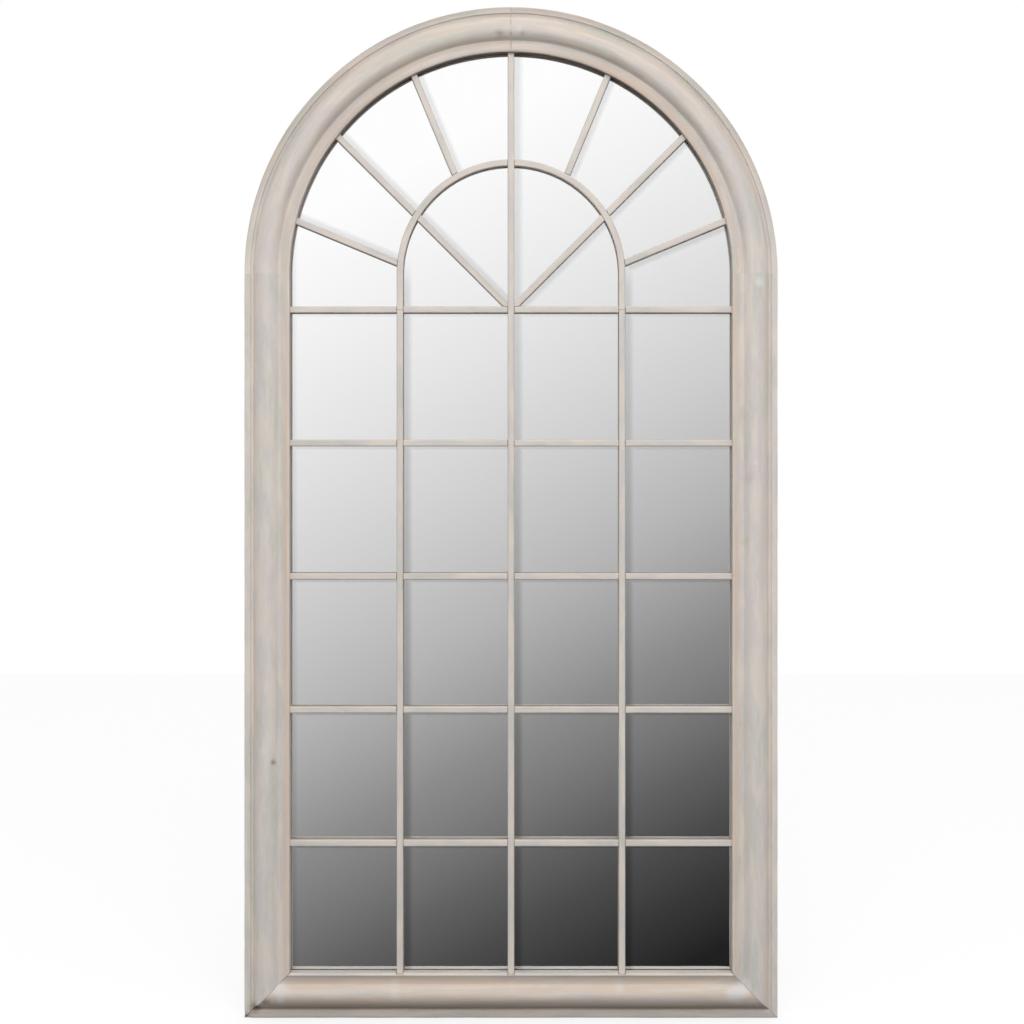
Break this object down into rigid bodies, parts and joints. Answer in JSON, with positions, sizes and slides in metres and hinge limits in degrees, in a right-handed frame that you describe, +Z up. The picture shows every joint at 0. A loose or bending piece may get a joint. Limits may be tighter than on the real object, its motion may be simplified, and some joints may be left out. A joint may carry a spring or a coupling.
{
  "type": "arched window mirror",
  "caption": "Arched wall mirror like a window: moulded whitewashed wood frame, glazing bars in a grid and a fan over one mirror sheet, D-ring hangers behind.",
  "frame": {"origin": "centre of the arch, on its springing line, in the plane of the back face", "axes": "+X to the right seen from the front, +Z up, +Y towards the wall, so the front faces -Y"},
  "size_m": [0.8, 0.0413, 1.516],
  "materials": {
    "whitewashed_frame": "whitewashed softwood, brushed and rubbed through at the edges, matt",
    "whitewashed_bars": "whitewashed softwood, rubbed through at the edges, matt",
    "bare_wood": "bare beech, unfinished",
    "fibreboard": "brown hardboard, smooth",
    "mirror_glass": "clear float glass, silvered behind",
    "zinc_plated_steel": "bright zinc plating, satin",
    "black_rubber": "matt"
  },
  "bodies": {
    "root": {"frame_stile_left": "whitewashed_frame", "frame_stile_right": "whitewashed_frame", "frame_arch_left": "whitewashed_frame", "frame_arch_right": "whitewashed_frame", "frame_rail_bottom": "whitewashed_frame", "upright_bar_centre": "whitewashed_bars", "upright_bar_left": "whitewashed_bars", "upright_bar_right": "whitewashed_bars", "cross_bar_1": "whitewashed_bars", "cross_bar_2": "whitewashed_bars", "cross_bar_3": "whitewashed_bars", "cross_bar_4": "whitewashed_bars", "cross_bar_5": "whitewashed_bars", "arch_bar": "whitewashed_bars", "fan_bar_left_low": "whitewashed_bars", "fan_bar_left_diagonal": "whitewashed_bars", "fan_bar_left_high": "whitewashed_bars", "fan_bar_right_high": "whitewashed_bars", "fan_bar_right_diagonal": "whitewashed_bars", "fan_bar_right_low": "whitewashed_bars", "dowel_apex_outer": "bare_wood", "dowel_apex_inner": "bare_wood", "dowel_spring_left_outer": "bare_wood", "dowel_spring_left_inner": "bare_wood", "dowel_spring_right_outer": "bare_wood", "dowel_spring_right_inner": "bare_wood", "dowel_mitre_left_outer": "bare_wood", "dowel_mitre_left_inner": "bare_wood", "dowel_mitre_right_outer": "bare_wood", "dowel_mitre_right_inner": "bare_wood", "mirror_glass": "mirror_glass", "back_board": "fibreboard", "board_screw_01": "zinc_plated_steel", "board_screw_02": "zinc_plated_steel", "board_screw_03": "zinc_plated_steel", "board_screw_04": "zinc_plated_steel", "board_screw_05": "zinc_plated_steel", "board_screw_06": "zinc_plated_steel", "board_screw_07": "zinc_plated_steel", "board_screw_08": "zinc_plated_steel", "board_screw_09": "zinc_plated_steel", "board_screw_10": "zinc_plated_steel", "board_screw_11": "zinc_plated_steel", "board_screw_12": "zinc_plated_steel", "board_screw_13": "zinc_plated_steel", "board_screw_14": "zinc_plated_steel", "board_screw_15": "zinc_plated_steel", "hanger_screw_left_lower": "zinc_plated_steel", "hanger_screw_left_upper": "zinc_plated_steel", "hanger_screw_right_lower": "zinc_plated_steel", "hanger_screw_right_upper": "zinc_plated_steel", "hanger_strap_left": "zinc_plated_steel", "hanger_strap_right": "zinc_plated_steel", "bumper_left": "black_rubber", "bumper_right": "black_rubber"},
    "ring_left": {"hanger_ring_left": "zinc_plated_steel"},
    "ring_right": {"hanger_ring_right": "zinc_plated_steel"}
  },
  "joints": [
    {"name": "ring_left_swing", "type": "hinge", "parent": "root", "child": "ring_left", "pos_m": [-0.3775, 0.00315, -0.018], "axis": [1, 0, 0], "range_deg": [0, 180]},
    {"name": "ring_right_swing", "type": "hinge", "parent": "root", "child": "ring_right", "pos_m": [0.3775, 0.00315, -0.018], "axis": [1, 0, 0], "range_deg": [0, 180]}
  ]
}
